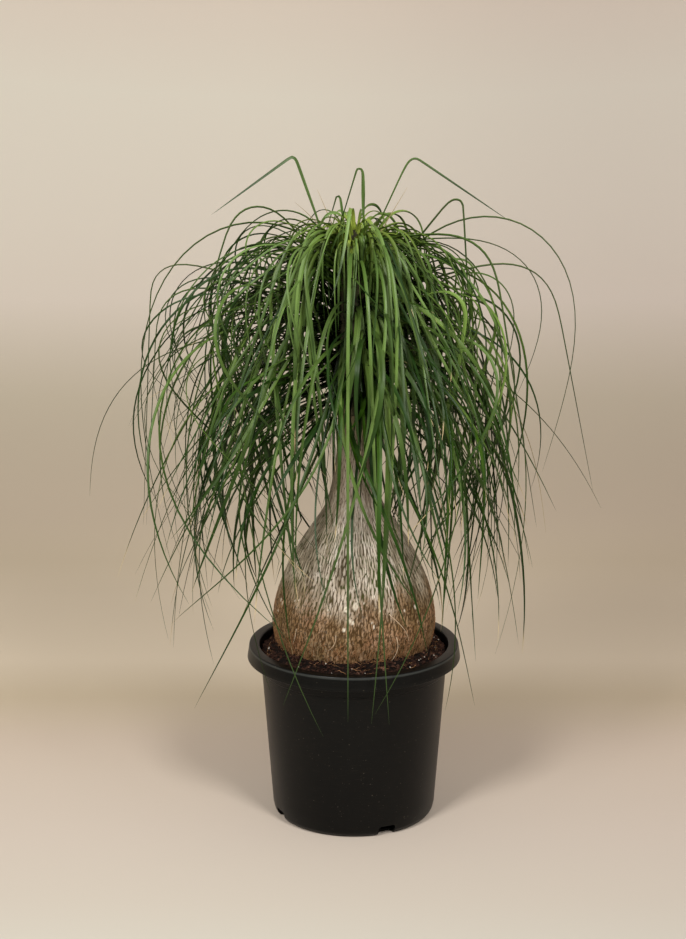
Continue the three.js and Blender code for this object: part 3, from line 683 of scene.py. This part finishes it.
def makeSoil():
    under, surface, inner = soil["underside"], 240, soil["innerRadius"]
    rows = [(1, under), (100, under), (126, under + 2), (soil["edgeRadius"] - 0.3, 232)]
    rows += [(mix(soil["edgeRadius"], inner, t), surface) for t in np.linspace(0, 1, 26)]
    rows += [(100, surface), (1, surface)]

    def heaped(turn, radius, height):
        level = np.where(height == surface, soilLevel(radius, turn), height)
        return radius, np.where(radius < inner, np.minimum(level, soil["covered"]), level)

    points, faces, bake = turnedMesh(rows, 260, shape=heaped)
    mount(makeMesh("pottingSoil", points, faces, soilFinish("soil"), bakeMap=bake), "soil", "soil")
    points, faces = scattered(soil["chips"], soil["seed"], soil["chipSize"], (0.35, 0.9), 0.1)
    chips = makeMesh("barkChips", points, faces, soilFinish("chips"))
    chips.data.shade_flat()
    mount(chips, "soil")
    points, faces = scattered(soil["perlite"], soil["seed"] + 1, soil["perliteSize"], (0.7, 1), 0.5)
    mount(makeMesh("perliteBits", points, faces, soilFinish("perlite")), "soil")
    points, faces = strandMesh(rootLines())
    mount(makeMesh("surfaceRoots", points, faces, soilFinish("rootSkin")), "bark")
    points, faces = strandMesh(strayLines())
    mount(makeMesh("strayFibres", points, faces, soilFinish("paleFibre")), "bark")


makeSoil()
print("soil and roots made")

# Leaves
blade = {
    "width": 9.4, "fold": 24, "thickness": 0.9, "sections": 30, "step": 4, "shortest": 20, "rootDepth": 7,
    "taper": (2.7, 0.8), "caudexGap": 11, "potGap": 9, "lowestTip": 104, "longestRest": 60, "turnWeight": 20,
    "driftRun": 500, "freeRun": 100, "creaseAngle": 34,
    "marks": ("along", "across", "tone", "dry", "young"),
    "tones": {
        "blotch": (90, 122, 60), "vein": (16, 40, 8), "newGrowth": (146, 162, 66), "far": (26, 52, 0),
        "dry": (190, 170, 128),
    },
}
crown = {
    "seed": 20417, "centre": 560, "centreRight": 44, "radius": 300, "goldenAngle": 137.508, "tierTurn": 47,
    "jitter": 9, "stemTop": 778, "stemTip": 838, "collarRadius": 27, "tipRadius": 9, "shoulder": 588,
    "arcBend": (60, 600), "straightBend": (45, 115), "straightSharp": (1.6, 4), "straightEnd": (-88, 20),
    "droop": (-45, -8), "straightFacing": (0.05, 0.8), "straightReach": (1.12, 0.98),
    "reach": 0.885, "reachRight": -0.1, "reachFront": 0.03, "fullness": 0.44, "fullerRight": 0.1,
    "launchLeft": -12, "launchSpread": 11, "kinked": 0.33, "kinkSharp": (3, 9), "softSharp": (1.05, 2.9),
    "curl": 36, "endSpread": 10, "frontTrim": 232, "backTrim": 280, "trimFrom": 0.4, "untrimmed": 0.17,
    "leftTrim": 70, "rightTrim": 66.5, "lowestEnd": 200, "drift": 54, "sway": 16, "roll": 50,
    "toneSpread": 0.42, "outerThin": 0.35, "outerDark": 0.3,
}
# where the leaves fall apart and show what is behind: degrees round from the front, push and width
hangingParts = [(-27, 20, 18), (-153, 27, 18), (-2, 8, 16)]
crownParts = [(-9, 32, 30), (-150, 12, 20)]
# skin is dark, fair and foot tone; the near-black foot of the lower and middle leaves is painted shade for
# the heart of the crown, the yellow-green foot of the upper ones is their own colour
tiers = {
    "lowerLeaves": {
        "node": "leaves_lower", "slot": "leaf_dark", "count": 150, "height": (600, 664), "launch": (-21, 16),
        "shell": (0.54, 0.9), "length": (280, 560), "tone": 0.28, "young": 0, "parts": hangingParts,
        "straight": 0.3, "frontDrop": 0, "width": (0.5, 0.95),
        "gloss": 0.2, "skin": ((18, 43, 4), (76, 114, 26), (8, 15, 4)),
    },
    "middleLeaves": {
        "node": "leaves_middle", "slot": "leaf_mid", "count": 252, "height": (672, 742), "launch": (22, 64),
        "shell": (0.6, 1.1), "length": (430, 690), "tone": 0.45, "young": 0, "parts": hangingParts,
        "straight": 0.62, "frontDrop": 28, "width": (0.5, 0.95),
        "gloss": 0.26, "skin": ((23, 47, 8), (122, 151, 72), (9, 18, 5)),
    },
    "upperLeaves": {
        "node": "leaves_upper", "slot": "leaf_fresh", "count": 158, "height": (750, 804), "launch": (44, 66),
        "shell": (0.7, 1.08), "length": (430, 650), "tone": 0.6, "young": 0.4, "parts": crownParts,
        "straight": 0.72, "frontDrop": 0, "width": (0.5, 0.92),
        "gloss": 0.42, "skin": ((26, 51, 12), (119, 149, 76), (60, 86, 27)),
    },
}
# the small curled leaves at the very top
heart = {
    "count": 110, "height": (792, 834), "launch": (36, 88), "bend": (18, 58), "sharp": (1.4, 4.6),
    "end": (-100, -55), "length": (60, 210), "drift": 120, "roll": 90, "width": (0.3, 0.62),
    "tone": (0.6, 1), "young": (0.5, 1), "jitter": 20,
}
# the long leaves that come over from the top towards the front and fall straight, like a fan
fan = {
    "count": 20, "side": (-60, 62), "height": (772, 812), "launch": (50, 80), "bend": (45, 95),
    "sharp": (1.5, 3.2), "end": (-78, -56), "droop": (-26, -8), "length": (340, 560), "lowestEnd": 270,
    "drift": 16, "roll": 50, "width": (0.5, 0.85), "tone": (0.3, 1), "young": 0.15, "parts": [(-9, 24, 24)],
}
plainLeaf = {
    "length": 900, "droop": 0, "tip": 0, "drift": 0, "sway": 0, "roll": 0, "width": 1, "tone": 0.32,
    "dry": 0, "young": 0,
}
# side: degrees round from the front; height: where it leaves the stem; launch and end: its slopes before and
# after the bend; bend: how far along that is; sharp: how suddenly it bends
lineKeys = ("side", "height", "launch", "bend", "sharp", "end", "length")


def strap(*line, **more):
    return {**plainLeaf, **dict(zip(lineKeys, line)), **more}


def rimStrap(side, height, launch, bend, tip, drift=0):
    # a thin one that comes down over the rim of the pot
    return strap(side, height, launch, bend, 1.7, -91, width=0.5, tone=0.8, tip=tip, drift=drift)


def deadStrap(*line):
    return strap(*line, width=0.3, dry=8)


# the leaves that stand out of the crown, one by one
standouts = {
    "lowerLeaves": [
        deadStrap(-64, 600, -20, 60, 2, -60, 110),
        deadStrap(-94, 640, 12, 190, 1.6, -98, 470),
        deadStrap(96, 650, 10, 200, 2, -84, 420),
    ],
    "middleLeaves": [
        strap(-96, 732, 15, 258, 11, -87, 620, width=0.55),
        strap(-84, 722, 13, 242, 8, -86, 560, width=0.6),
        strap(-99, 700, -5, 360, 3.3, -92, 500, width=0.6),
        strap(97, 696, -12, 330, 1.5, -78, 440, width=0.6),
    ],
    "upperLeaves": [
        strap(-92, 762, 71, 182, 60, -36, 322, roll=70, width=0.55),
        strap(90, 806, 92, 113, 40, 253, 230, roll=150, width=0.6),
        strap(-90, 815, 84, 68, 30, -74, 150, roll=150, width=0.42),
        strap(90, 806, 65, 142, 26, -34, 300, roll=70, width=0.46),
        strap(84, 740, 52, 186, 26, -86, 600),
        strap(86, 750, 49, 292, 2.4, -106, 620, width=0.7),
        strap(94, 743, 16, 243, 6, -78, 560, width=0.75),
        strap(100, 815, 4, 272, 3.6, -114, 440, width=0.5),
        strap(76, 820, 9, 172, 4.8, -80, 560, width=0.9),
        strap(-82, 746, 57, 186, 6, -73, 560, width=0.85),
        strap(-88, 784, 50, 247, 1.5, -104, 700, width=0.7),
        strap(-98, 781, 69, 132, 2.4, -65, 420, width=0.6),
        strap(-78, 781, 13, 157, 8, -60, 420, width=0.7),
        rimStrap(-84, 790, 46, 122, tip=166, drift=29),
        rimStrap(18, 772, 48, 121, tip=205, drift=-26),
        rimStrap(-3, 780, 50, 121, tip=190),
        rimStrap(20, 798, 52, 124, tip=186, drift=-5),
        rimStrap(6, 776, 44, 120, tip=182, drift=5),
        rimStrap(86, 784, 44, 121, tip=200, drift=-36),
        deadStrap(-90, 806, 68, 300, 2, 50, 92),
        deadStrap(-88, 798, 58, 90, 2, 30, 100),
        deadStrap(92, 800, 60, 300, 2, 50, 108),
    ],
}


def collarRadius(height):
    past = np.clip((height - crown["stemTop"]) / (crown["stemTip"] - crown["stemTop"]), 0, 1)
    return mix(crown["collarRadius"], crown["tipRadius"], past**1.6)


def leafRuns(leaves, step):
    # all leaves of a tier at once, a row for each step: a leaf leaves the stem at its launch slope, turns to
    # its end slope, droops from there and drifts round the stem, up to its length or its lowest tip
    radius = np.maximum(2, collarRadius(leaves["height"]) - blade["rootDepth"])
    height = leaves["height"].copy()
    growing = np.ones(len(height), bool)
    rested = np.zeros(len(height))
    rows = []
    run = 0
    while growing.any():
        turned = 1 - np.exp(-((run / leaves["bend"]) ** leaves["sharp"]))
        part = run / blade["driftRun"]
        slope = mix(leaves["launch"], leaves["end"], turned)
        slope = np.radians(np.maximum(slope + leaves["droop"] * part, np.minimum(slope, -90)))
        swayed = leaves["sway"] * math.sin(part * math.pi)
        side = leaves["side"] - 90 + leaves["drift"] * part * part + swayed
        rows.append((radius, height, slope, np.radians(side), growing))
        radius = radius + np.cos(slope) * step
        height = height + np.sin(slope) * step
        held = trunkRadius(height) + blade["caudexGap"]
        resting = (run > blade["freeRun"]) & (height < crown["shoulder"]) & (radius < held)
        radius = np.where(resting, held, radius)
        rested = rested + step * resting
        overPot = radius < pot["rimRadius"] + blade["potGap"]
        lowest = np.where(overPot, pot["height"] + blade["potGap"], blade["lowestTip"])
        growing = growing & (height >= np.maximum(leaves["tip"], lowest)) & (rested <= blade["longestRest"])
        run += step
        growing = growing & (run <= leaves["length"])
    return [np.array(values) for values in zip(*rows)]


def fillCrown(leaves, reach, key, low, high):
    # finds a bend or an end slope for each leaf, by halving, so that it just reaches its share of the crown
    centre = crown["centre"] + crown["centreRight"] * np.maximum(0, np.sin(np.radians(leaves["side"])))
    for _ in range(9):
        leaves[key] = (low + high) / 2
        radius, height, _, _, growing = leafRuns(leaves, 3 * blade["step"])
        furthest = np.where(growing, np.hypot(radius, np.maximum(0, height - centre)), 0).max(0)
        tooFar = furthest > reach * crown["radius"]
        high = np.where(tooFar, leaves[key], high)
        low = np.where(tooFar, low, leaves[key])
    leaves[key] = low
    return leaves


def spread(draw, most):
    return (2 * draw - 1) * most


def parted(side, parts):
    for at, push, width in parts:
        off = (side - at + 180) % 360 - 180
        side = side + np.sign(off) * push * np.exp(-((off / width) ** 2))
    return side


def drawTier(tier, number):
    # leaves set round the stem by the golden angle: some run straight past a bend near it, the rest arch
    rng = np.random.default_rng(crown["seed"] + number)
    draw = rng.random((tier["count"], 17)).T
    order = np.arange(tier["count"])
    rank = (order + draw[0]) / tier["count"]
    side = order * crown["goldenAngle"] + number * crown["tierTurn"] + spread(draw[1], crown["jitter"])
    side = parted(side, tier["parts"])
    right, front = np.sin(np.radians(side)), np.cos(np.radians(side))
    reach = mix(*tier["shell"], draw[2] ** (crown["fullness"] - crown["fullerRight"] * np.maximum(0, right)))
    reach *= crown["reach"] + crown["reachRight"] * right + crown["reachFront"] * front
    trim = np.where(front > 0, crown["frontTrim"], crown["backTrim"])
    trim = trim * smooth(crown["trimFrom"], 0.95, np.abs(front)) * (draw[3] > crown["untrimmed"])
    trim = trim + np.where(right > 0, crown["rightTrim"], crown["leftTrim"]) * np.abs(right)
    outer = smooth(0.75, 0.95, reach)
    kinked = draw[4] < crown["kinked"]
    straight = draw[15] < tier["straight"] * smooth(*crown["straightFacing"], np.abs(front))
    sharp = np.where(kinked, mix(*crown["kinkSharp"], draw[5]), mix(*crown["softSharp"], draw[5]))
    launch = mix(*tier["launch"], rank) + spread(draw[6], crown["launchSpread"])
    launch = launch + crown["launchLeft"] * np.maximum(0, -right)
    launch = launch - tier["frontDrop"] * smooth(0.4, 0.9, front)
    tone = tier["tone"] + spread(draw[13], crown["toneSpread"]) - crown["outerDark"] * outer
    leaves = {
        "side": side,
        "height": mix(*tier["height"], rank),
        "launch": launch,
        "bend": mix(*crown["straightBend"], draw[16]),
        "sharp": np.where(straight, mix(*crown["straightSharp"], draw[5]), sharp),
        "end": -87 - crown["curl"] * np.minimum(reach, 1.1) ** 3 + spread(draw[7], crown["endSpread"]),
        "droop": np.where(straight, mix(*crown["droop"], draw[7]), 0),
        "length": mix(*tier["length"], draw[8]) - trim,
        "tip": np.full(tier["count"], float(crown["lowestEnd"])),
        "drift": spread(draw[9], crown["drift"]),
        "sway": spread(draw[10], crown["sway"]),
        "roll": spread(draw[11], crown["roll"]),
        "width": mix(*tier["width"], draw[12]) * (1 - crown["outerThin"] * outer),
        "tone": np.clip(tone, 0, 1),
        "dry": draw[14] ** 2,
        "young": tier["young"] * smooth(0.3, 1, rank),
    }
    further = reach * mix(*crown["straightReach"], np.abs(front))
    straights = fillCrown(pick(leaves, straight), further[straight], "end", *crown["straightEnd"])
    arcs = fillCrown(pick(leaves, ~straight), reach[~straight], "bend", *crown["arcBend"])
    return joined([straights, arcs])


def drawGroup(group, number):
    # leaves whose every value lies between the two limits that the group sets
    draw = np.random.default_rng(crown["seed"] + number).random((11, group["count"]))
    leaves = {key: np.full(group["count"], float(value)) for key, value in plainLeaf.items()}
    for part, key in zip(draw[1:7], lineKeys[1:]):
        leaves[key] = mix(*group[key], part)
    leaves["drift"] = spread(draw[7], group["drift"])
    leaves["roll"] = spread(draw[8], group["roll"])
    leaves["width"] = mix(*group["width"], draw[9])
    leaves["tone"] = mix(*group["tone"], draw[10])
    return leaves, draw


def drawHeart():
    leaves, draw = drawGroup(heart, 9)
    leaves["side"] = np.arange(heart["count"]) * crown["goldenAngle"] + spread(draw[0], heart["jitter"])
    leaves["young"] = mix(*heart["young"], draw[4])
    return leaves


def drawFan():
    leaves, draw = drawGroup(fan, 12)
    side = mix(*fan["side"], (np.arange(fan["count"]) + draw[0]) / fan["count"])
    leaves["side"] = parted(side, fan["parts"])
    leaves["droop"] = mix(*fan["droop"], draw[1])
    leaves["tip"] += fan["lowestEnd"]
    leaves["dry"] = draw[0] ** 2
    leaves["young"] += fan["young"]
    return leaves


def listed(leaves):
    # leaves set one by one, as the same columns that the drawn ones have
    return {key: np.array([float(leaf[key]) for leaf in leaves]) for key in leaves[0]}


def pick(leaves, wanted):
    return {key: values[wanted] for key, values in leaves.items()}


def joined(groups):
    return {key: np.concatenate([group[key] for group in groups]) for key in groups[0]}


def leafRings(run, width, roll):
    # the sections of one leaf: closer together where it turns, folded in a V, and closed at root and tip
    radius, height, slope, side = run
    steps = len(radius)
    turning = np.abs(np.diff(slope, prepend=slope[0]))
    load = np.cumsum(1 + turning * blade["turnWeight"])
    at = np.interp(np.linspace(load[0], load[-1], blade["sections"]), load, np.arange(steps))
    radius, height, slope, side = (np.interp(at, np.arange(steps), v) for v in run)
    middle = np.stack([radius * np.cos(side), radius * np.sin(side), height], 1)
    along = at / (steps - 1)
    ahead = np.gradient(middle, axis=0)
    ahead /= np.linalg.norm(ahead, axis=1)[:, None]
    up = np.stack([-np.sin(slope) * np.cos(side), -np.sin(slope) * np.sin(side), np.cos(slope)], 1)
    across = np.cross(ahead, up)
    across /= np.linalg.norm(across, axis=1)[:, None]
    up = np.cross(across, ahead)
    roll = np.radians(roll) * smooth(0.05, 0.6, along)[:, None]
    across, up = across * np.cos(roll) + up * np.sin(roll), up * np.cos(roll) - across * np.sin(roll)
    early, late = blade["taper"]
    taper = (1 - along**early) ** late * (1 + 0.25 * np.exp(-along * steps / 5))
    half = np.maximum(blade["width"] / 2 * width * taper, 0.25)[:, None]
    fold = np.radians(blade["fold"] * (1 - 0.5 * along))[:, None]
    thick = np.maximum(blade["thickness"] * (1 - 0.7 * along), 0.3)[:, None]
    raised = up * np.sin(fold) * half
    spreadOut = across * np.cos(fold) * half
    left, right = middle - spreadOut + raised, middle + spreadOut + raised
    rings = np.stack([left, middle, right, middle - up * thick], 1)
    rings[-1] = middle[-1] + (rings[-1] - middle[-1]) * 0.3
    return rings.reshape(-1, 3), along


def leafFinish(name, gloss, dark, fair, foot):
    finish, tree, shader = startFinish(name, Specular_IOR_Level=gloss)
    tones = blade["tones"]
    along, across, tone, dry, young = (mark(tree, markName) for markName in blade["marks"])
    apart = maths(tree, "MULTIPLY", tone, 40)
    run = addNode(tree, "ShaderNodeCombineXYZ", {"X": across, "Y": along, "Z": apart}).outputs[0]
    veins = noise(tree, stretched(tree, run, (5.5, 2.5, 1)), 1.0, 2, 0.6)
    blotch = noise(tree, stretched(tree, run, (0.5, 6, 1)), 1.0, 3, 0.6)
    green = ramp(tree, tone, (0, dark), (1, fair))
    green = layered(tree, green, tones["blotch"], range01(tree, blotch, 0.35, 0.75), 0.3)
    green = layered(tree, green, tones["vein"], range01(tree, veins, 0.42, 0.7), 0.4)
    # towards the stem each leaf turns to its foot tone: painted shade on the lower and middle leaves, the
    # young yellow-green of the upper ones
    green = layered(tree, green, foot, range01(tree, along, 0.42, 0.04), 0.92)
    green = layered(tree, green, tones["newGrowth"], range01(tree, along, 0.4, 0.08), young)
    green = layered(tree, green, tones["far"], range01(tree, along, 0.42, 0.8), 0.85)
    tipward = maths(tree, "ADD", along, maths(tree, "MULTIPLY", dry, 0.13))
    green = layered(tree, green, tones["dry"], range01(tree, tipward, 1.02, 1.07))
    rough = ramp(tree, veins, (0.3, (0.36, 0.36, 0.36, 1)), (0.7, (0.52, 0.52, 0.52, 1)))
    feed(tree, shader, Base_Color=green, Roughness=rough, Normal=bump(tree, veins, 0.35, 0.0005))
    return finish


def leafMesh(name, leaves, finish):
    radius, height, slope, side, growing = leafRuns(leaves, blade["step"])
    steps = growing.sum(0)
    kept = np.flatnonzero(steps > blade["shortest"])
    sections = blade["sections"]
    ring = sections * 4
    # each leaf has a cell of its own in the bake map, in two rows of cells
    columns = math.ceil(len(kept) / 2)
    cellWide, cellTall = 0.92 / columns, 0.49
    quads = [face for row in range(sections - 1) for face in band(row * 4, row * 4 + 4, 4)]
    caps = [(3, 2, 1, 0), tuple(ring - 4 + k for k in range(4))]
    points, faces, bake = [], [], []
    marks = {key: [] for key in blade["marks"]}
    for number, leaf in enumerate(kept):
        run = [v[:steps[leaf], leaf] for v in (radius, height, slope, side)]
        corners, along = leafRings(run, leaves["width"][leaf], leaves["roll"][leaf])
        start = number * ring
        points.append(corners)
        faces += [tuple(start + i for i in face) for face in quads + caps]
        marks["along"].append(np.repeat(along, 4))
        marks["across"].append(np.tile([-1, 0, 1, 0], sections))
        for key in ("tone", "dry", "young"):
            marks[key].append(np.full(ring, leaves[key][leaf]))
        left, low = number // 2 / columns, number % 2 * 0.5
        for row in range(sections - 1):
            v0, v1 = (low + cellTall * i / (sections - 1) for i in (row, row + 1))
            for k in range(4):
                u0, u1 = left + cellWide * k / 4, left + cellWide * (k + 1) / 4
                bake += [(u0, v0), (u1, v0), (u1, v1), (u0, v1)]
        for v in (low, low + cellTall):
            bake += [(left + 0.1 / columns * c, v + 0.0005 * d) for c, d in ((0, 0), (1, 0), (1, 1), (0, 1))]
    marks = {key: np.concatenate(values) for key, values in marks.items()}
    print(name, len(kept))
    points = np.concatenate(points) * mm
    return makeMesh(name, points, faces, finish, marks, bake, creaseAngle=blade["creaseAngle"])


def makeLeaves():
    for number, (name, tier) in enumerate(tiers.items()):
        groups = [drawTier(tier, number), listed(standouts[name])]
        if name == "upperLeaves":
            groups += [drawHeart(), drawFan()]
        finish = leafFinish(name + "Skin", tier["gloss"], *tier["skin"])
        mount(leafMesh(name, joined(groups), finish), tier["slot"], tier["node"])


makeLeaves()

# The stem inside the crown
leafBases = {
    "from": 584, "rows": 90, "inset": 3, "scale": 9, "relief": 1.6, "segments": 72,
    "tones": ((20, 20, 10), (66, 62, 34)),
}


def makeLeafBases():
    # the column of old leaf bases which the leaves spring from
    finish, tree, shader = startFinish("leafBases", Roughness=0.8)
    scales = noise(tree, places(tree, (1, 1, 0.5)), 120, 3, 0.6)
    colour = ramp(tree, scales, *zip((0.3, 0.7), leafBases["tones"]))
    feed(tree, shader, Base_Color=colour, Normal=bump(tree, scales, 0.6, 0.001))
    levels = np.linspace(leafBases["from"], crown["stemTip"] - 1, leafBases["rows"])
    outline = [(float(collarRadius(h)) - leafBases["inset"], h) for h in levels]

    def scaled(turn, radius, height):
        ringed = np.mod(height / leafBases["scale"] + 0.5 * np.round(np.sin(turn * 6)), 1)
        return radius + leafBases["relief"] * (0.5 - ringed), height

    points, faces, bake = turnedMesh(outline, leafBases["segments"], shape=scaled)
    mount(makeMesh("leafBaseColumn", points, faces, finish, bakeMap=bake), "bark")


makeLeafBases()
print("leaves made")
